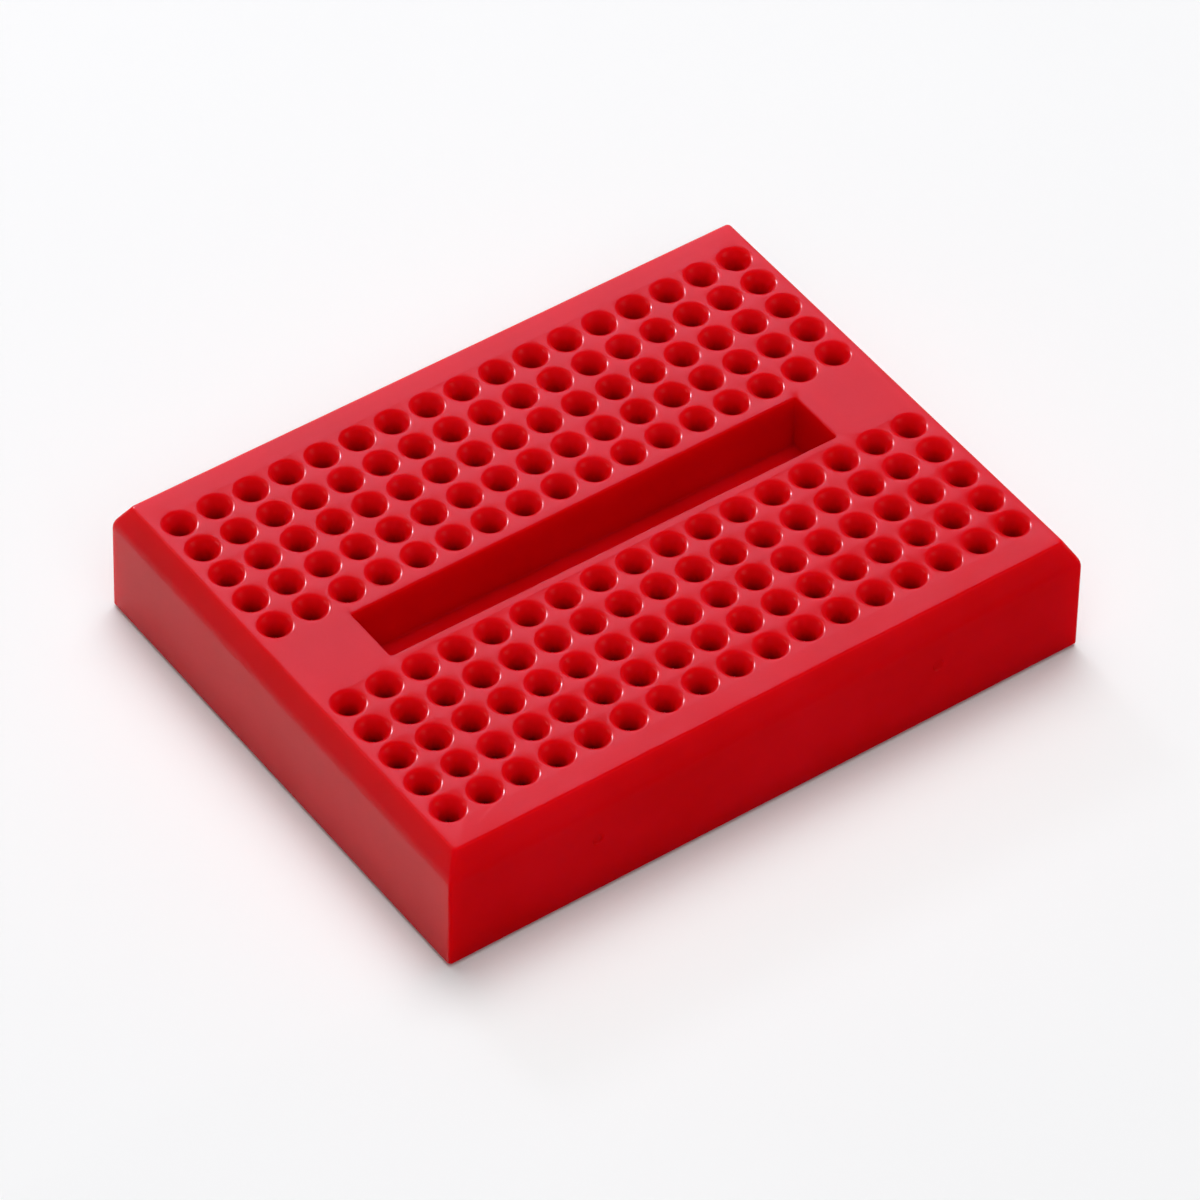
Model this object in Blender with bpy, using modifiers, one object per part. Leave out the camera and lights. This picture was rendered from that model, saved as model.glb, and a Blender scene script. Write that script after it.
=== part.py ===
"""Mini solderless breadboard with 170 tie points, in 17 columns beside a centre trough.

One moulded housing holds a spring contact clip under each column of five holes.
A double-sided foam pad closes the underside, and a paper liner covers its adhesive.
Metres, +Z up. The origin is the middle of the underside, where the liner lies on
the table. X runs along the columns, and the front half of the board is on -Y.
"""

import math

import bmesh
import bpy

# Grid of tie points
PITCH = 0.00254
COLUMNS = 17
ROWS = 5
ROW_SPLIT = 3 * PITCH
BLOCK_CENTRE = ROW_SPLIT / 2 + (ROWS - 1) / 2 * PITCH

# Housing
LENGTH = 0.0457
WIDTH = 0.0355
TOP = 0.00855
CORNER_RADIUS = 0.0004
CHAMFER_INSET = 0.00095
CHAMFER_DROP = 0.00145
RIM_WALL = 0.0008

# Stack under the housing, from the table up
LINER_THICKNESS = 0.0001
FOAM_THICKNESS = 0.0009
STACK_GAP = 0.00005
FOAM_PROUD = 0.0001
FOAM_CLEARANCE = 0.0001
FOAM_CORNER_RADIUS = 0.001
FOAM_BOTTOM = LINER_THICKNESS + STACK_GAP
RIM_BOTTOM = FOAM_BOTTOM + FOAM_PROUD
RECESS_CEILING = FOAM_BOTTOM + FOAM_THICKNESS + STACK_GAP

# Tie-point hole: a funnel down to a straight bore
MOUTH_RADIUS = 0.001
BORE_RADIUS = 0.00055
FUNNEL_DEPTH = 0.0007
HOLE_SIDES = 8
ROOF_THICKNESS = 0.0016

# Clip cavity and centre trough
CAVITY_WIDTH = 0.00194
CAVITY_LENGTH = 0.0119
CAVITY_CEILING = TOP - ROOF_THICKNESS
TROUGH_LENGTH = 0.0323
TROUGH_WIDTH = 0.0041
TROUGH_DEPTH = 0.0039

# Contact clip: heights are above its floor, half widths are to the middle of the sheet
SHEET = 0.0002
CLIP_LENGTH = 0.0115
CLIP_HALF_WIDTH = 0.00072
CLIP_BEND_HEIGHT = 0.0011
CLIP_PINCH_HEIGHT = 0.0039
CLIP_PINCH_HALF_WIDTH = 0.00024
CLIP_TIP_HEIGHT = 0.0051
CLIP_TIP_HALF_WIDTH = 0.0006
CLIP_SLOT_WIDTH = 0.0004
CLIP_SLOT_BOTTOM = 0.0014
CLIP_FLOOR = RECESS_CEILING + STACK_GAP + SHEET / 2

# How far a cutter passes the surface it opens
OVERCUT = 0.0002
MERGE_DISTANCE = 0.00001
SMOOTH_ANGLE = math.radians(30)


def clear_scene():
    """Start from an empty scene."""
    for obj in list(bpy.data.objects):
        bpy.data.objects.remove(obj, do_unlink=True)


def new_collection(name):
    """A collection linked to the scene."""
    collection = bpy.data.collections.new(name)
    bpy.context.scene.collection.children.link(collection)
    return collection


def material(name, colour, roughness, metallic=0.0):
    """A Principled material with one linear colour."""
    made = bpy.data.materials.new(name)
    made.use_nodes = True
    made.diffuse_color = (*colour, 1.0)
    shader = made.node_tree.nodes["Principled BSDF"]
    shader.inputs["Base Color"].default_value = (*colour, 1.0)
    shader.inputs["Roughness"].default_value = roughness
    shader.inputs["Metallic"].default_value = metallic
    return made


def abs_red():
    return material("abs_red", (0.56, 0.006, 0.012), 0.36)


def plated_bronze():
    return material("plated_bronze", (0.72, 0.68, 0.6), 0.28, metallic=1.0)


def foam_white():
    return material("foam_white", (0.82, 0.8, 0.74), 0.9)


def liner_paper():
    return material("liner_paper", (0.86, 0.78, 0.52), 0.5)


def object_from(bm, name, collection):
    """Finish a bmesh as a named object in a collection, smooth across its rounded corners."""
    mesh = bpy.data.meshes.new(name)
    bm.to_mesh(mesh)
    bm.free()
    mesh.shade_smooth()
    mesh.set_sharp_from_angle(angle=SMOOTH_ANGLE)
    obj = bpy.data.objects.new(name, mesh)
    collection.objects.link(obj)
    return obj


def box(length, width, low, high, corner_radius=0.0, segments=3):
    """A box centred in X and Y, with its four upright edges rounded."""
    bm = bmesh.new()
    bmesh.ops.create_cube(bm, size=1.0)
    bmesh.ops.scale(bm, vec=(length, width, high - low), verts=bm.verts)
    bmesh.ops.translate(bm, vec=(0, 0, (low + high) / 2), verts=bm.verts)
    if corner_radius:
        upright = [e for e in bm.edges if abs(e.verts[0].co.z - e.verts[1].co.z) > (high - low) / 2]
        bmesh.ops.bevel(
            bm,
            geom=upright,
            offset=corner_radius,
            segments=segments,
            profile=0.5,
            affect="EDGES",
        )
    return bm


def add_array(obj, name, count, offset):
    """Repeat an object's mesh at a fixed offset."""
    array = obj.modifiers.new(name, "ARRAY")
    array.count = count
    array.use_relative_offset = False
    array.use_constant_offset = True
    array.constant_offset_displace = offset


def as_cutter(obj):
    """Mark an object as a guide that isn't part of the board."""
    obj.display_type = "WIRE"
    obj.hide_render = True
    return obj


def cut(obj, cutter):
    """Subtract a cutter from an object."""
    boolean = obj.modifiers.new(cutter.name, "BOOLEAN")
    boolean.operation = "DIFFERENCE"
    boolean.solver = "EXACT"
    boolean.object = cutter


def tie_point_cutter(collection):
    """The funnel and bore of one hole, turned about its axis and repeated over the grid."""
    slope = (MOUTH_RADIUS - BORE_RADIUS) / FUNNEL_DEPTH
    mouth_top = TOP + OVERCUT
    profile = [
        (0.0, mouth_top),
        (MOUTH_RADIUS + slope * OVERCUT, mouth_top),
        (BORE_RADIUS, TOP - FUNNEL_DEPTH),
        (BORE_RADIUS, CAVITY_CEILING - OVERCUT),
        (0.0, CAVITY_CEILING - OVERCUT),
    ]
    mesh = bpy.data.meshes.new("tie_point_cutter")
    points = [(x, 0.0, z) for x, z in profile]
    mesh.from_pydata(points, [(i, i + 1) for i in range(len(points) - 1)], [])
    cutter = bpy.data.objects.new("tie_point_cutter", mesh)
    collection.objects.link(cutter)

    screw = cutter.modifiers.new("turn", "SCREW")
    screw.axis = "Z"
    screw.steps = HOLE_SIDES
    screw.render_steps = HOLE_SIDES
    screw.use_merge_vertices = True
    screw.merge_threshold = MERGE_DISTANCE
    add_array(cutter, "columns", COLUMNS, (PITCH, 0, 0))
    add_array(cutter, "rows", ROWS, (0, PITCH, 0))
    add_array(cutter, "blocks", 2, (0, 2 * BLOCK_CENTRE, 0))
    first_x = -(COLUMNS - 1) / 2 * PITCH
    first_y = -BLOCK_CENTRE - (ROWS - 1) / 2 * PITCH
    cutter.location = (first_x, first_y, 0)
    return as_cutter(cutter)


def cavity_cutter(collection):
    """The slot that holds one clip, repeated under every column of both blocks."""
    bm = box(CAVITY_WIDTH, CAVITY_LENGTH, RECESS_CEILING - OVERCUT, CAVITY_CEILING)
    cutter = object_from(bm, "cavity_cutter", collection)
    add_array(cutter, "columns", COLUMNS, (PITCH, 0, 0))
    add_array(cutter, "blocks", 2, (0, 2 * BLOCK_CENTRE, 0))
    cutter.location = (-(COLUMNS - 1) / 2 * PITCH, -BLOCK_CENTRE, 0)
    return as_cutter(cutter)


def recess_cutter(collection):
    """The shallow pocket that the foam pad is stuck in."""
    bm = box(
        LENGTH - 2 * RIM_WALL,
        WIDTH - 2 * RIM_WALL,
        RIM_BOTTOM - OVERCUT,
        RECESS_CEILING,
        FOAM_CORNER_RADIUS + FOAM_CLEARANCE,
    )
    return as_cutter(object_from(bm, "recess_cutter", collection))


def trough_cutter(collection):
    """The centre trough that a dual in-line chip straddles."""
    bm = box(TROUGH_LENGTH, TROUGH_WIDTH, TOP - TROUGH_DEPTH, TOP + OVERCUT)
    return as_cutter(object_from(bm, "trough_cutter", collection))


def housing_blank():
    """The housing's outside: upright walls, then a steep chamfer up to the top face."""
    bm = box(LENGTH, WIDTH, RIM_BOTTOM, TOP - CHAMFER_DROP, CORNER_RADIUS, segments=2)
    roof = max(bm.faces, key=lambda face: face.calc_center_median().z)
    top = bmesh.ops.extrude_discrete_faces(bm, faces=[roof])["faces"][0]
    shrink = (1 - 2 * CHAMFER_INSET / LENGTH, 1 - 2 * CHAMFER_INSET / WIDTH, 1)
    bmesh.ops.scale(bm, vec=shrink, verts=top.verts)
    bmesh.ops.translate(bm, vec=(0, 0, CHAMFER_DROP), verts=top.verts)
    return bm


def build_housing(parts, cutters, board):
    """The red moulding, with its recess, clip cavities, holes and trough cut out."""
    housing = object_from(housing_blank(), "housing", parts)
    for make in (recess_cutter, cavity_cutter, tie_point_cutter, trough_cutter):
        cut(housing, make(cutters))
    housing.data.materials.append(abs_red())
    housing.parent = board


def clip_surface():
    """The middle of the clip's sheet: two leaves and the channel that joins them."""
    half = [
        (CLIP_TIP_HALF_WIDTH, CLIP_TIP_HEIGHT),
        (CLIP_PINCH_HALF_WIDTH, CLIP_PINCH_HEIGHT),
        (CLIP_HALF_WIDTH, CLIP_BEND_HEIGHT),
        (CLIP_HALF_WIDTH, 0.0),
    ]
    section = half + [(-x, z) for x, z in reversed(half)]
    bm = bmesh.new()
    verts = [bm.verts.new((x, -CLIP_LENGTH / 2, z)) for x, z in section]
    edges = [bm.edges.new(pair) for pair in zip(verts, verts[1:])]
    swept = bmesh.ops.extrude_edge_only(bm, edges=edges)["geom"]
    moved = [item for item in swept if isinstance(item, bmesh.types.BMVert)]
    bmesh.ops.translate(bm, vec=(0, CLIP_LENGTH, 0), verts=moved)
    bmesh.ops.recalc_face_normals(bm, faces=bm.faces)
    return bm


def clip_slot_cutter(collection):
    """The slots that part a clip's leaves into five pairs, one pair to each hole."""
    bm = box(4 * CLIP_HALF_WIDTH, CLIP_SLOT_WIDTH, CLIP_SLOT_BOTTOM, CLIP_TIP_HEIGHT + SHEET)
    cutter = object_from(bm, "clip_slot_cutter", collection)
    add_array(cutter, "slots", ROWS - 1, (0, PITCH, 0))
    cutter.location = (0, -(ROWS - 2) / 2 * PITCH, 0)
    return as_cutter(cutter)


def clip_mesh(cutters):
    """The mesh that all the clips share."""
    pattern = object_from(clip_surface(), "clip_pattern", cutters)
    sheet = pattern.modifiers.new("sheet", "SOLIDIFY")
    sheet.thickness = SHEET
    sheet.offset = 0.0
    sheet.use_even_offset = True
    cut(pattern, clip_slot_cutter(cutters))
    evaluated = pattern.evaluated_get(bpy.context.evaluated_depsgraph_get())
    mesh = bpy.data.meshes.new_from_object(evaluated)
    mesh.name = "contact_clip"
    bpy.data.objects.remove(pattern, do_unlink=True)
    return mesh


def build_clips(parts, cutters, board):
    """One clip under each column of each block."""
    mesh = clip_mesh(cutters)
    mesh.materials.append(plated_bronze())
    for block, side in (("front", -1), ("rear", 1)):
        for column in range(COLUMNS):
            clip = bpy.data.objects.new(f"contact_clip_{block}_{column + 1:02d}", mesh)
            parts.objects.link(clip)
            x = (column - (COLUMNS - 1) / 2) * PITCH
            clip.location = (x, side * BLOCK_CENTRE, CLIP_FLOOR)
            clip.parent = board


def build_foam_pad(parts, board):
    """The double-sided foam pad in the recess."""
    inset = 2 * (RIM_WALL + FOAM_CLEARANCE)
    bm = box(LENGTH - inset, WIDTH - inset, 0, FOAM_THICKNESS, FOAM_CORNER_RADIUS)
    pad = object_from(bm, "foam_pad", parts)
    pad.data.materials.append(foam_white())
    pad.location = (0, 0, FOAM_BOTTOM)
    pad.parent = board


def build_release_liner(parts, board):
    """The paper on the pad's adhesive. It slides off along X from its own origin."""
    inset = 2 * (RIM_WALL + FOAM_CLEARANCE)
    bm = box(LENGTH - inset, WIDTH - inset, 0, LINER_THICKNESS, FOAM_CORNER_RADIUS)
    liner = object_from(bm, "release_liner", parts)
    liner.data.materials.append(liner_paper())
    liner.parent = board


def build_breadboard():
    """Make every piece of the board, under one empty."""
    parts = new_collection("solderless_breadboard")
    cutters = new_collection("cutters")
    board = bpy.data.objects.new("board", None)
    parts.objects.link(board)
    build_housing(parts, cutters, board)
    build_clips(parts, cutters, board)
    build_foam_pad(parts, board)
    build_release_liner(parts, board)


clear_scene()
build_breadboard()
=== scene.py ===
"""The looks of the mini solderless breadboard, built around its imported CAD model.

Metres, +Z up. Each CAD piece is replaced by a finer mesh that fills the same box. The
housing's mesh is made of closed loops of vertices that are bridged into walls and
filled into flat faces, so every hole has a rounded mouth.
"""

import math

import bmesh
import bpy
from mathutils import Matrix, Vector


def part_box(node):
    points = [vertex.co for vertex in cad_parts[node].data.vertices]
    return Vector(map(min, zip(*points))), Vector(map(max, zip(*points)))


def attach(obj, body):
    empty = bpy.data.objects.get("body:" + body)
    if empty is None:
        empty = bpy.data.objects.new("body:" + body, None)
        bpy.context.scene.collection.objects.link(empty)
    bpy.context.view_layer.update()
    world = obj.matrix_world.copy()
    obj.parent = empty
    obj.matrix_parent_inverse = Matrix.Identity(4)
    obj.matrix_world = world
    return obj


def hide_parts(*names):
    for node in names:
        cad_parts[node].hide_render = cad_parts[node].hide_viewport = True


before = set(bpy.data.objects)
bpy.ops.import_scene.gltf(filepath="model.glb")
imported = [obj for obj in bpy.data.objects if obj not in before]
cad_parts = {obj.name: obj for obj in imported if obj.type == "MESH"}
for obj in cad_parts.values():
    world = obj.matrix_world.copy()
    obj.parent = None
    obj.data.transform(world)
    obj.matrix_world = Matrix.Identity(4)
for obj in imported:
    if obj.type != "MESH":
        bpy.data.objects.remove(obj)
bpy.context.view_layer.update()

MM = 0.001
COLUMNS = 17
ROWS = 5
BLOCKS = ("front", "rear")

# What the frame says
HOUSING_LOW, HOUSING_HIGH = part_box("housing")
PAD_LOW, PAD_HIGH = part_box("foam_pad")
LINER_LOW, LINER_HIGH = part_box("release_liner")
TOP = HOUSING_HIGH.z
RIM_BOTTOM = HOUSING_LOW.z
HALF_LENGTH = HOUSING_HIGH.x
HALF_WIDTH = HOUSING_HIGH.y

# Housing shape
PITCH = 2.54 * MM
CORNER_RADIUS = 0.24 * MM
CHAMFER_INSET = 0.95 * MM
CHAMFER_DROP = 1.55 * MM
TOP_EDGE_RADIUS = 0.2 * MM
SHOULDER_RADIUS = 1.5 * MM
WALL_DRAFT = 0.06 * MM
RIM_WALL = 0.8 * MM
RIM_EDGE_RADIUS = 0.05 * MM
RECESS_RADIUS = 1.1 * MM
PAD_CLEARANCE = 0.05 * MM
RECESS_CEILING = PAD_HIGH.z + PAD_CLEARANCE
EDGE_STEPS = 4
CORNER_STEPS = 6
SHARP_ANGLE = math.radians(40)
FLAT_FACE_WEIGHT = 80

# Tie-point holes and the clip cavities under them
MOUTH_RADIUS = 1.0 * MM
MOUTH_EDGE_RADIUS = 0.35 * MM
BORE_RADIUS = 0.55 * MM
FUNNEL_DEPTH = 0.7 * MM
THROAT_RADIUS = 0.9 * MM
ROOF_THICKNESS = 1.6 * MM
HOLE_SIDES = 32
CAVITY_HALF_WIDTH = 0.97 * MM
CAVITY_HALF_LENGTH = 5.95 * MM
CAVITY_CEILING = TOP - ROOF_THICKNESS

# Centre trough
TROUGH_HALF_LENGTH = 16.15 * MM
TROUGH_HALF_WIDTH = 2.05 * MM
TROUGH_DEPTH = 3.9 * MM
TROUGH_CORNER_RADIUS = 0.15 * MM
TROUGH_EDGE_RADIUS = 0.12 * MM

# Two small round mould marks on the front wall
MARK_X = (-12.4 * MM, 12.2 * MM)
MARK_Z = TOP - 4.1 * MM
MARK_RADIUS = 0.42 * MM
MARK_DEPTH = 0.12 * MM
MARK_EDGE_RADIUS = 0.1 * MM
MARK_FOOT_RADIUS = 0.75 * MARK_RADIUS
MARK_CENTRE_RADIUS = 0.3 * MARK_RADIUS
MARK_MOUTH_RADIUS = 1.3 * MARK_RADIUS
MARK_SIDES = 20

# Contact clip: half widths are to the middle of the sheet, heights above its floor
SHEET = 0.2 * MM
CLIP_SECTION = (
    (0.6 * MM, 5.1 * MM, 0.0),
    (0.24 * MM, 3.9 * MM, 0.5 * MM),
    (0.72 * MM, 1.1 * MM, 0.8 * MM),
    (0.72 * MM, 0.0, 0.22 * MM),
)
CLIP_SLOT_WIDTH = 0.4 * MM
CLIP_SLOT_BOTTOM = 1.4 * MM
CLIP_BEND_STEPS = 5
CLIP_EDGE = 0.03 * MM
CLIP_EDGE_SEGMENTS = 2
CLIP_EDGE_ANGLE = math.radians(50)

# Foam pad and liner
PAD_CORNER_RADIUS = 1.0 * MM
PAD_EDGE_RADIUS = 0.06 * MM
LINER_EDGE_RADIUS = 0.02 * MM

# Camera, aimed at a point on the top face
AIM = Vector((-3.515 * MM, -5.249 * MM, TOP))
CAMERA_DISTANCE = 446.1 * MM
CAMERA_AZIMUTH = math.radians(36.5)
CAMERA_ELEVATION = math.radians(45.425)
CAMERA_ROLL = math.radians(1.458)
CAMERA_LENS = 228.5
CAMERA_SENSOR = 36.0

# Floor and lights
FLOOR_SIZE = 4.0
FLOOR_GAP = 0.02 * MM
# The flag in front of the board is painted shade: a dark card that only reflections see
FLAG_SIZE = 0.3
FLAG_GAP = 0.01 * MM
LIGHT_DISTANCE = 0.9
SURROUND_COLOUR = (0.95, 0.97, 1.0, 1.0)
SURROUND_STRENGTH = 0.1

# The ends of each colour and roughness range: most of a noise lies between them
NOISE_LOW = 0.3
NOISE_HIGH = 0.7


# ---------------------------------------------------------------- mesh helpers


def rounded_path(corners, steps=EDGE_STEPS):
    """Points along a path of (a, b, radius) corners, with an arc at each one between its ends.

    An end that only sets the path's direction is cut off afterwards.
    """
    path = [Vector(corners[0][:2])]
    for before, corner, after in zip(corners, corners[1:], corners[2:]):
        point = Vector(corner[:2])
        radius = corner[2]
        back = (Vector(before[:2]) - point).normalized()
        ahead = (Vector(after[:2]) - point).normalized()
        half = back.angle(ahead) / 2
        centre = point + (back + ahead).normalized() * radius / math.sin(half)
        start = point + back * radius / math.tan(half) - centre
        end = point + ahead * radius / math.tan(half) - centre
        turn = start.angle(end)
        for step in range(steps + 1):
            share = step / steps
            arm = start * math.sin((1 - share) * turn) + end * math.sin(share * turn)
            path.append(centre + arm / math.sin(turn))
    path.append(Vector(corners[-1][:2]))
    return path


def ring(bm, x, y, z, radius, sides=HOLE_SIDES):
    """A level circle of vertices."""
    turns = [2 * math.pi * i / sides for i in range(sides)]
    return [bm.verts.new((x + radius * math.cos(a), y + radius * math.sin(a), z)) for a in turns]


def rectangle(bm, half_x, half_y, z, radius=0.0, x=0.0, y=0.0):
    """A level rectangle of vertices, with rounded corners if it has a radius."""
    steps = CORNER_STEPS if radius else 0
    verts = []
    for quarter, (side_x, side_y) in enumerate(((1, 1), (-1, 1), (-1, -1), (1, -1))):
        centre_x = x + side_x * (half_x - radius)
        centre_y = y + side_y * (half_y - radius)
        for step in range(steps + 1):
            a = math.pi / 2 * (quarter + step / max(steps, 1))
            along_x = centre_x + radius * math.cos(a)
            along_y = centre_y + radius * math.sin(a)
            verts.append(bm.verts.new((along_x, along_y, z)))
    return verts


def bridge(bm, loops):
    """Walls between each loop and the next."""
    for lower, upper in zip(loops, loops[1:]):
        for i in range(len(lower)):
            j = (i + 1) % len(lower)
            bm.faces.new((lower[i], lower[j], upper[j], upper[i]))


def fill(bm, loops, normal=(0, 0, 1)):
    """A flat face bounded by the first loop, with the others as holes or islands."""
    edges = []
    for loop in loops:
        for a, b in zip(loop, loop[1:] + loop[:1]):
            edges.append(bm.edges.get((a, b)) or bm.edges.new((a, b)))
    bmesh.ops.triangle_fill(bm, use_beauty=True, use_dissolve=False, edges=edges, normal=normal)


def finish_mesh(bm, name):
    """A mesh from a bmesh, with its faces turned outwards and smooth up to a sharp angle."""
    bmesh.ops.recalc_face_normals(bm, faces=bm.faces)
    mesh = bpy.data.meshes.new(name)
    bm.to_mesh(mesh)
    bm.free()
    mesh.shade_smooth()
    mesh.set_sharp_from_angle(angle=SHARP_ANGLE)
    return mesh


def new_object(name, mesh, material):
    """An object of a mesh, with one material, whose flat faces keep flat shading."""
    obj = bpy.data.objects.new(name, mesh)
    bpy.context.scene.collection.objects.link(obj)
    if not mesh.materials:
        mesh.materials.append(material)
    flat = obj.modifiers.new("flat_faces", "WEIGHTED_NORMAL")
    flat.keep_sharp = True
    flat.weight = FLAT_FACE_WEIGHT
    return obj


def column_x(column):
    """The middle of a column of tie points, from its clip."""
    low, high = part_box(f"contact_clip_front_{column + 1:02d}")
    return (low.x + high.x) / 2


def block_y(block):
    """The middle of a block of rows, from its clips."""
    low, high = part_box(f"contact_clip_{block}_01")
    return (low.y + high.y) / 2


# ---------------------------------------------------------------- housing


def outer_loops(bm):
    """The housing's outside, from under its rim up over the chamfer to the top face."""
    section = rounded_path(
        (
            (RIM_WALL / 2, RIM_BOTTOM, 0),
            (0, RIM_BOTTOM, RIM_EDGE_RADIUS),
            (WALL_DRAFT, TOP - CHAMFER_DROP, SHOULDER_RADIUS),
            (CHAMFER_INSET, TOP, TOP_EDGE_RADIUS),
            (2 * CHAMFER_INSET, TOP, 0),
        )
    )[:-1]
    return [
        rectangle(bm, HALF_LENGTH - inset, HALF_WIDTH - inset, z, CORNER_RADIUS)
        for inset, z in section
    ]


def recess_loops(bm):
    """The pad's recess, from its ceiling down to the rim."""
    section = rounded_path(
        (
            (RIM_WALL, RECESS_CEILING, 0),
            (RIM_WALL, RIM_BOTTOM, RIM_EDGE_RADIUS),
            (RIM_WALL / 2, RIM_BOTTOM, 0),
        )
    )[:-1]
    return [
        rectangle(bm, HALF_LENGTH - inset, HALF_WIDTH - inset, z, RECESS_RADIUS)
        for inset, z in section
    ]


def hole_loops(bm, x, y):
    """One tie point, from the top face down its funnel to the cavity."""
    section = rounded_path(
        (
            (2 * MOUTH_RADIUS, TOP, 0),
            (MOUTH_RADIUS, TOP, MOUTH_EDGE_RADIUS),
            (BORE_RADIUS, TOP - FUNNEL_DEPTH, THROAT_RADIUS),
            (BORE_RADIUS, CAVITY_CEILING, 0),
        )
    )[1:]
    return [ring(bm, x, y, z, radius) for radius, z in section]


def trough_loops(bm):
    """The centre trough, from the top face down to its floor."""
    section = rounded_path(
        (
            (TROUGH_HALF_WIDTH, TOP, 0),
            (0, TOP, TROUGH_EDGE_RADIUS),
            (0, TOP - TROUGH_DEPTH, TROUGH_EDGE_RADIUS),
            (-TROUGH_HALF_WIDTH, TOP - TROUGH_DEPTH, 0),
        )
    )[1:-1]
    return [
        rectangle(
            bm,
            TROUGH_HALF_LENGTH + out,
            TROUGH_HALF_WIDTH + out,
            z,
            TROUGH_CORNER_RADIUS + out,
        )
        for out, z in section
    ]


def add_mould_marks(bm):
    """Press two shallow round marks into the front wall, which is rebuilt around them.

    Each mark's rings are made level, and then stood up along the leaning wall.
    """
    wall = min(
        bm.faces,
        key=lambda face: (round(face.calc_center_median().y, 4), -face.calc_area()),
    )
    rim = list(wall.verts)
    low = min(rim, key=lambda vert: vert.co.z).co
    high = max(rim, key=lambda vert: vert.co.z).co
    lean = (high.y - low.y) / (high.z - low.z)
    bmesh.ops.delete(bm, geom=[wall], context="FACES_ONLY")
    section = rounded_path(
        (
            (MARK_MOUTH_RADIUS, 0, 0),
            (MARK_RADIUS, 0, MARK_EDGE_RADIUS),
            (MARK_FOOT_RADIUS, MARK_DEPTH, MARK_EDGE_RADIUS),
            (MARK_CENTRE_RADIUS, MARK_DEPTH, 0),
        )
    )
    mouths = [rim]
    for x in MARK_X:
        loops = [ring(bm, x, MARK_Z, depth, radius, MARK_SIDES) for radius, depth in section]
        for vert in (v for loop in loops for v in loop):
            height = vert.co.y
            depth = vert.co.z
            vert.co = (vert.co.x, low.y + lean * (height - low.z) + depth, height)
        bridge(bm, loops)
        bm.faces.new(loops[-1])
        mouths.append(loops[0])
    fill(bm, mouths, normal=(0, -1, 0))


def housing_mesh():
    """The whole moulding as one closed mesh."""
    bm = bmesh.new()
    outer = outer_loops(bm)
    recess = recess_loops(bm)
    trough = trough_loops(bm)
    bridge(bm, recess + outer)
    bridge(bm, trough)
    bm.faces.new(trough[-1])
    add_mould_marks(bm)
    mouths = [outer[-1], trough[0]]
    cavities = [recess[0]]
    for block in BLOCKS:
        middle = block_y(block)
        for column in range(COLUMNS):
            x = column_x(column)
            place = {"x": x, "y": middle}
            ceiling = rectangle(bm, CAVITY_HALF_WIDTH, CAVITY_HALF_LENGTH, CAVITY_CEILING, **place)
            mouth = rectangle(bm, CAVITY_HALF_WIDTH, CAVITY_HALF_LENGTH, RECESS_CEILING, **place)
            bridge(bm, [ceiling, mouth])
            cavities.append(mouth)
            bores = [ceiling]
            for row in range(ROWS):
                hole = hole_loops(bm, x, middle + (row - (ROWS - 1) / 2) * PITCH)
                bridge(bm, hole)
                mouths.append(hole[0])
                bores.append(hole[-1])
            fill(bm, bores)
    fill(bm, mouths)
    fill(bm, cavities)
    return finish_mesh(bm, "housing_fine")


# ---------------------------------------------------------------- clips, pad and liner


def clip_mesh():
    """A contact clip: a bent sheet with five pairs of leaves, its floor's middle at z = 0."""
    low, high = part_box("contact_clip_front_01")
    half_length = (high.y - low.y) / 2
    mirrored = [(-x, z, radius) for x, z, radius in reversed(CLIP_SECTION)]
    section = rounded_path(list(CLIP_SECTION) + mirrored, steps=CLIP_BEND_STEPS)
    slots = [(i - (ROWS - 2) / 2) * PITCH for i in range(ROWS - 1)]
    cuts = [slot + side * CLIP_SLOT_WIDTH / 2 for slot in slots for side in (-1, 1)]
    stations = [-half_length, *cuts, half_length]
    bm = bmesh.new()
    rows = [[bm.verts.new((x, y, z)) for x, z in section] for y in stations]
    for strip, (near, far) in enumerate(zip(rows, rows[1:])):
        in_slot = strip % 2 == 1
        for i in range(len(section) - 1):
            height = (section[i].y + section[i + 1].y) / 2
            if not (in_slot and height > CLIP_SLOT_BOTTOM):
                bm.faces.new((near[i], near[i + 1], far[i + 1], far[i]))
    stray = [v for v in bm.verts if not v.link_faces]
    bmesh.ops.delete(bm, geom=stray, context="VERTS")
    mesh = finish_mesh(bm, "contact_clip_fine")
    pattern = bpy.data.objects.new("clip_pattern", mesh)
    bpy.context.scene.collection.objects.link(pattern)
    sheet = pattern.modifiers.new("sheet", "SOLIDIFY")
    sheet.thickness = SHEET
    sheet.offset = 0.0
    sheet.use_even_offset = True
    edge = pattern.modifiers.new("edge", "BEVEL")
    edge.width = CLIP_EDGE
    edge.segments = CLIP_EDGE_SEGMENTS
    edge.limit_method = "ANGLE"
    edge.angle_limit = CLIP_EDGE_ANGLE
    evaluated = pattern.evaluated_get(bpy.context.evaluated_depsgraph_get())
    finished = bpy.data.meshes.new_from_object(evaluated)
    bpy.data.objects.remove(pattern, do_unlink=True)
    return finished


def build_clips(material):
    """A fine clip in place of each CAD clip."""
    mesh = clip_mesh()
    for block in BLOCKS:
        for column in range(COLUMNS):
            node = f"contact_clip_{block}_{column + 1:02d}"
            low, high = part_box(node)
            clip = new_object(f"clip_{block}_{column + 1:02d}", mesh, material)
            clip.location = ((low.x + high.x) / 2, (low.y + high.y) / 2, low.z + SHEET / 2)
            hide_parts(node)
            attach(clip, "board")


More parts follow.
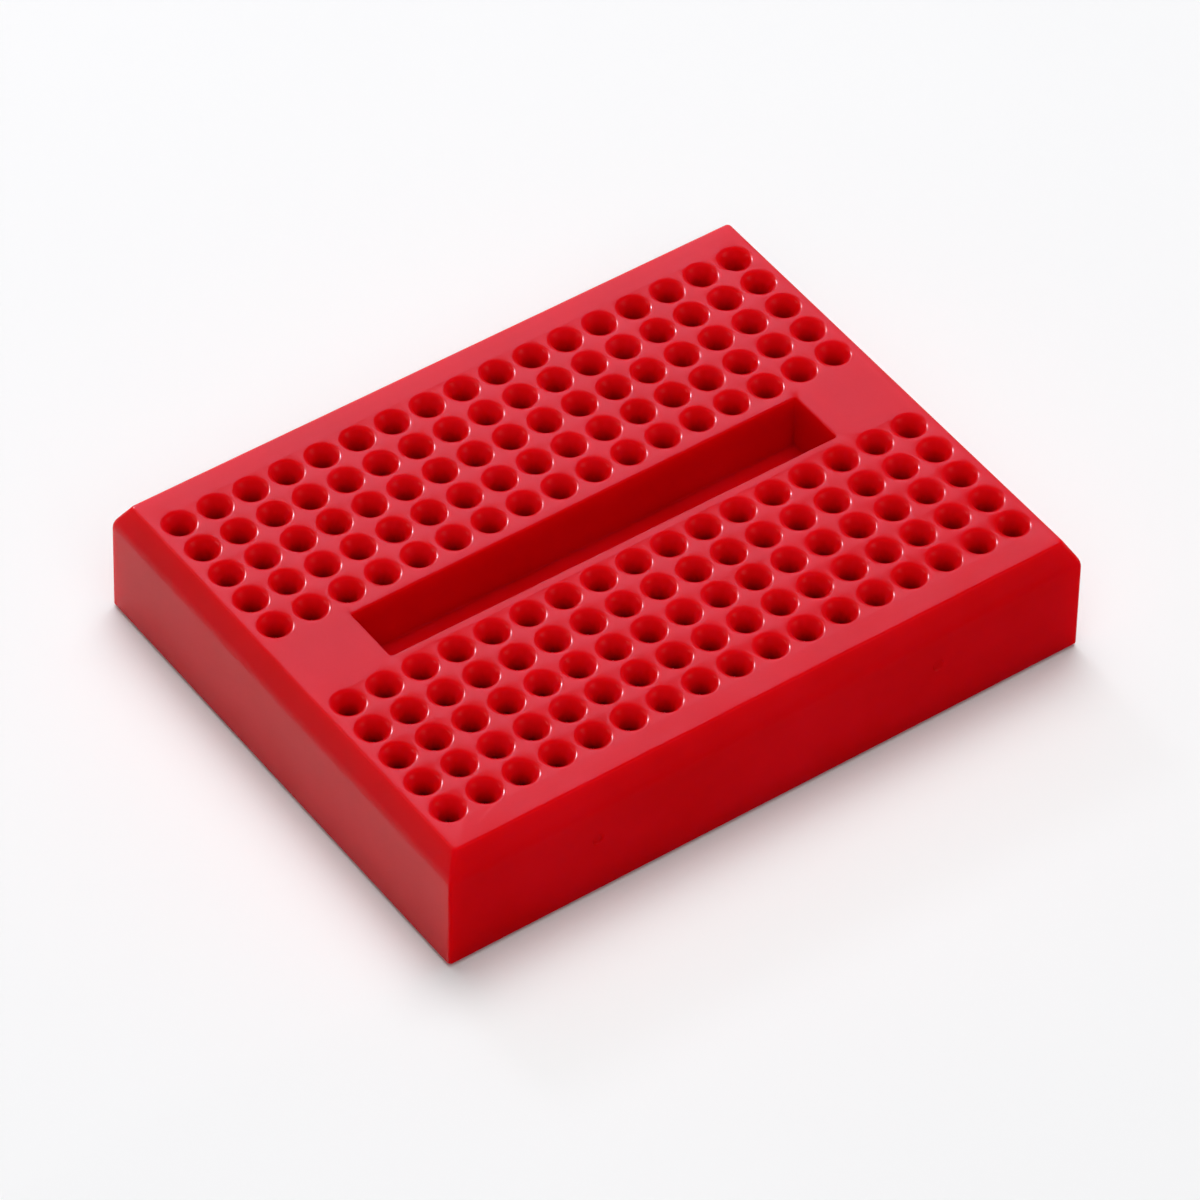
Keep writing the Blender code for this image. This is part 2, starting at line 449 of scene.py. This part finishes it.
def slab_mesh(name, low, high, edge_radius):
    """A thin slab with rounded corners and softened edges, filling a CAD piece's box."""
    half_x = (high.x - low.x) / 2
    half_y = (high.y - low.y) / 2
    section = rounded_path(
        (
            (half_y, low.z, 0),
            (0, low.z, edge_radius),
            (0, high.z, edge_radius),
            (half_y, high.z, 0),
        )
    )[1:-1]
    bm = bmesh.new()
    loops = [
        rectangle(bm, half_x - inset, half_y - inset, z, PAD_CORNER_RADIUS) for inset, z in section
    ]
    bridge(bm, loops)
    bm.faces.new(loops[0])
    bm.faces.new(loops[-1])
    return finish_mesh(bm, name)


# ---------------------------------------------------------------- materials


class Shader:
    """A Principled material whose nodes are added one by one."""

    def __init__(self, name, roughness, metallic=0.0, specular=0.5):
        self.material = bpy.data.materials.new(name)
        self.material.use_nodes = True
        self.tree = self.material.node_tree
        self.principled = self.tree.nodes["Principled BSDF"]
        self.principled.inputs["Roughness"].default_value = roughness
        self.principled.inputs["Metallic"].default_value = metallic
        self.principled.inputs["Specular IOR Level"].default_value = specular
        self.place = self.tree.nodes.new("ShaderNodeTexCoord").outputs["Object"]

    def link(self, source, target):
        """Connect an output socket to an input socket."""
        self.tree.links.new(source, target)

    def stretched(self, scale):
        """Object coordinates scaled differently along X, Y and Z."""
        mapping = self.tree.nodes.new("ShaderNodeMapping")
        mapping.inputs["Scale"].default_value = scale
        self.link(self.place, mapping.inputs["Vector"])
        return mapping.outputs["Vector"]

    def noise(self, size, detail=2.0, roughness=0.5, vector=None):
        """Noise whose blobs are about as wide as the given size, in metres."""
        noise = self.tree.nodes.new("ShaderNodeTexNoise")
        noise.inputs["Scale"].default_value = 1 / size
        noise.inputs["Detail"].default_value = detail
        noise.inputs["Roughness"].default_value = roughness
        self.link(vector or self.place, noise.inputs["Vector"])
        return noise.outputs["Fac"]

    def cells(self, size):
        """Distance to the nearest of scattered points, for foam."""
        voronoi = self.tree.nodes.new("ShaderNodeTexVoronoi")
        voronoi.inputs["Scale"].default_value = 1 / size
        self.link(self.place, voronoi.inputs["Vector"])
        return voronoi.outputs["Distance"]

    def colour(self, value, dark, light):
        """The base colour, from dark to light as the value rises."""
        ramp = self.tree.nodes.new("ShaderNodeValToRGB")
        ramp.color_ramp.elements[0].position = NOISE_LOW
        ramp.color_ramp.elements[0].color = (*dark, 1.0)
        ramp.color_ramp.elements[1].position = NOISE_HIGH
        ramp.color_ramp.elements[1].color = (*light, 1.0)
        self.link(value, ramp.inputs["Fac"])
        self.link(ramp.outputs["Color"], self.principled.inputs["Base Color"])

    def roughness(self, value, low, high):
        """The roughness, from low to high as the value rises."""
        ranged = self.tree.nodes.new("ShaderNodeMapRange")
        ranged.inputs["From Min"].default_value = NOISE_LOW
        ranged.inputs["From Max"].default_value = NOISE_HIGH
        ranged.inputs["To Min"].default_value = low
        ranged.inputs["To Max"].default_value = high
        self.link(value, ranged.inputs["Value"])
        self.link(ranged.outputs["Result"], self.principled.inputs["Roughness"])

    def bumps(self, *layers):
        """Bump from (height, depth in metres) layers, one on another."""
        normal = None
        for height, depth in layers:
            bump = self.tree.nodes.new("ShaderNodeBump")
            bump.inputs["Strength"].default_value = 1.0
            bump.inputs["Distance"].default_value = depth
            self.link(height, bump.inputs["Height"])
            if normal:
                self.link(normal, bump.inputs["Normal"])
            normal = bump.outputs["Normal"]
        self.link(normal, self.principled.inputs["Normal"])


def red_abs():
    """Semi-gloss red ABS that scatters light: cloudy colour and sheen, and a fine moulded grain."""
    shader = Shader("red_abs", roughness=0.19, specular=0.1)
    shader.principled.inputs["Subsurface Weight"].default_value = 1.0
    shader.principled.inputs["Subsurface Radius"].default_value = (1.0, 0.06, 0.04)
    shader.principled.inputs["Subsurface Scale"].default_value = 3.0 * MM
    cloud = shader.noise(5 * MM, detail=3.0)
    shader.colour(cloud, (0.64, 0.0012, 0.0045), (0.7, 0.0022, 0.0075))
    shader.roughness(shader.noise(2.5 * MM, detail=3.0), 0.16, 0.23)
    grain = shader.noise(0.12 * MM, detail=2.0, roughness=0.6)
    shader.bumps((cloud, 0.07 * MM), (grain, 0.0025 * MM))
    return shader.material


def nickel_plate():
    """Bright nickel-plated bronze sheet with rolling lines along the strip."""
    shader = Shader("nickel_plate", roughness=0.26, metallic=1.0)
    tint = shader.noise(2 * MM)
    lines = shader.noise(1.0, detail=3.0, vector=shader.stretched((20000, 900, 20000)))
    shader.colour(tint, (0.62, 0.57, 0.49), (0.74, 0.7, 0.62))
    shader.roughness(lines, 0.2, 0.36)
    shader.bumps((lines, 0.002 * MM))
    return shader.material


def white_foam():
    """Off-white foam with small cells, and an uneven sheen from its adhesive."""
    shader = Shader("white_foam", roughness=0.7)
    cells = shader.cells(0.16 * MM)
    shader.colour(cells, (0.68, 0.66, 0.6), (0.82, 0.8, 0.75))
    shader.roughness(shader.noise(3 * MM), 0.55, 0.8)
    shader.bumps((cells, 0.03 * MM))
    return shader.material


def release_paper():
    """Yellowish siliconised paper, with fibres under a smooth coat."""
    shader = Shader("release_paper", roughness=0.5)
    fibres = shader.noise(1.0, detail=5.0, vector=shader.stretched((1200, 5000, 5000)))
    shader.colour(fibres, (0.74, 0.66, 0.42), (0.82, 0.75, 0.52))
    shader.roughness(shader.noise(4 * MM), 0.4, 0.58)
    shader.bumps((shader.noise(6 * MM), 0.05 * MM), (fibres, 0.004 * MM))
    return shader.material


def pale_paper():
    """The white surface that the board stands on."""
    shader = Shader("pale_floor", roughness=0.8)
    shader.colour(shader.noise(40 * MM), (0.95, 0.95, 0.95), (0.96, 0.96, 0.96))
    return shader.material


def painted_shade_card():
    """Dull, nearly black card: painted shade, standing for the floor's shadow in reflections."""
    shader = Shader("painted_shade_card", roughness=0.9, specular=0.0)
    shader.colour(shader.noise(40 * MM), (0.05, 0.05, 0.05), (0.06, 0.06, 0.06))
    return shader.material


# ---------------------------------------------------------------- floor, lights and camera


def add_floor():
    """A wide pale floor, just under the liner."""
    bpy.ops.mesh.primitive_plane_add(size=FLOOR_SIZE, location=(0, 0, LINER_LOW.z - FLOOR_GAP))
    floor = bpy.context.object
    floor.name = "floor"
    floor.data.materials.append(pale_paper())


def add_painted_shade_flag():
    """A dark card that lies on the floor, in front of the board: painted shade.

    Only gloss sees it. It stands for the board's shadow on the floor there, and keeps the floor's
    white out of the front wall's reflection.
    """
    middle = (0, -HALF_WIDTH - FLAG_SIZE / 2, LINER_LOW.z - FLAG_GAP)
    bpy.ops.mesh.primitive_plane_add(size=FLAG_SIZE, location=middle)
    flag = bpy.context.object
    flag.name = "front_painted_shade"
    flag.data.materials.append(painted_shade_card())
    flag.visible_camera = False
    flag.visible_diffuse = False
    flag.visible_transmission = False
    flag.visible_shadow = False


def add_light(name, azimuth, elevation, size, brightness, colour=(1, 1, 1), shade=True, gloss=True):
    """A square light that faces the board. Azimuth 0 is towards +Y, 90 towards +X.

    The brightness is that of its face, so a larger light gives more light. It can be kept
    out of the shading or out of the gloss.
    """
    light = bpy.data.lights.new(name, "AREA")
    light.shape = "SQUARE"
    light.size = size
    light.energy = brightness * math.pi * size**2
    light.color = colour
    lamp = bpy.data.objects.new(name, light)
    bpy.context.scene.collection.objects.link(lamp)
    lamp.visible_diffuse = shade
    lamp.visible_glossy = gloss
    across = LIGHT_DISTANCE * math.cos(math.radians(elevation))
    lamp.location = (
        across * math.sin(math.radians(azimuth)),
        across * math.cos(math.radians(azimuth)),
        LIGHT_DISTANCE * math.sin(math.radians(elevation)),
    )
    lamp.rotation_euler = lamp.location.to_track_quat("Z", "Y").to_euler()


def add_lights():
    """Three softboxes that shade the board, smaller lights that only gloss it, and a dim surround."""
    add_light("front_softbox", 208, 60, 0.85, 1.3, gloss=False)
    add_light("top_softbox", 36, 72, 0.6, 4.6, gloss=False)
    add_light("rear_softbox", 0, 54, 0.7, 0.6)
    add_light("side_softbox", 29, 38.5, 0.38, 4.4, colour=(0.98, 0.95, 1.3), shade=False)
    add_light("window", 5, 35, 0.13, 170.0, colour=(0.98, 0.96, 1.12), shade=False)
    add_light("left_card", 316, 28, 0.4, 2.0, shade=False)
    add_light("right_card", 134, 18, 0.36, 1.5, shade=False)
    world = bpy.data.worlds.new("surround")
    world.use_nodes = True
    background = world.node_tree.nodes["Background"]
    background.inputs["Color"].default_value = SURROUND_COLOUR
    background.inputs["Strength"].default_value = SURROUND_STRENGTH
    bpy.context.scene.world = world


def add_camera():
    """A long lens that looks down over the front left corner."""
    camera = bpy.data.cameras.new("camera")
    camera.lens = CAMERA_LENS
    camera.sensor_width = CAMERA_SENSOR
    camera.clip_start = 0.01
    camera.clip_end = 20.0
    forward = Vector(
        (
            math.cos(CAMERA_ELEVATION) * math.sin(CAMERA_AZIMUTH),
            math.cos(CAMERA_ELEVATION) * math.cos(CAMERA_AZIMUTH),
            -math.sin(CAMERA_ELEVATION),
        )
    )
    eye = bpy.data.objects.new("camera", camera)
    bpy.context.scene.collection.objects.link(eye)
    level = forward.to_track_quat("-Z", "Y").to_matrix().to_4x4()
    turned = level @ Matrix.Rotation(CAMERA_ROLL, 4, "Z")
    eye.matrix_world = Matrix.Translation(AIM - forward * CAMERA_DISTANCE) @ turned
    bpy.context.scene.camera = eye


# ---------------------------------------------------------------- the board


def build_board():
    """Every visible piece, in place of its CAD solid."""
    housing = new_object("housing_shell", housing_mesh(), red_abs())
    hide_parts("housing")
    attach(housing, "board")

    build_clips(nickel_plate())

    pad_mesh = slab_mesh("foam_pad_fine", PAD_LOW, PAD_HIGH, PAD_EDGE_RADIUS)
    pad = new_object("adhesive_foam_pad", pad_mesh, white_foam())
    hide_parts("foam_pad")
    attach(pad, "board")

    liner_mesh = slab_mesh("release_liner_fine", LINER_LOW, LINER_HIGH, LINER_EDGE_RADIUS)
    liner = new_object("liner_sheet", liner_mesh, release_paper())
    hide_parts("release_liner")
    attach(liner, "liner")


build_board()
add_floor()
# A dark card in front of the board: painted shade, seen only in the front wall's reflection
add_painted_shade_flag()
add_lights()
add_camera()
bpy.context.scene.view_settings.view_transform = "Standard"
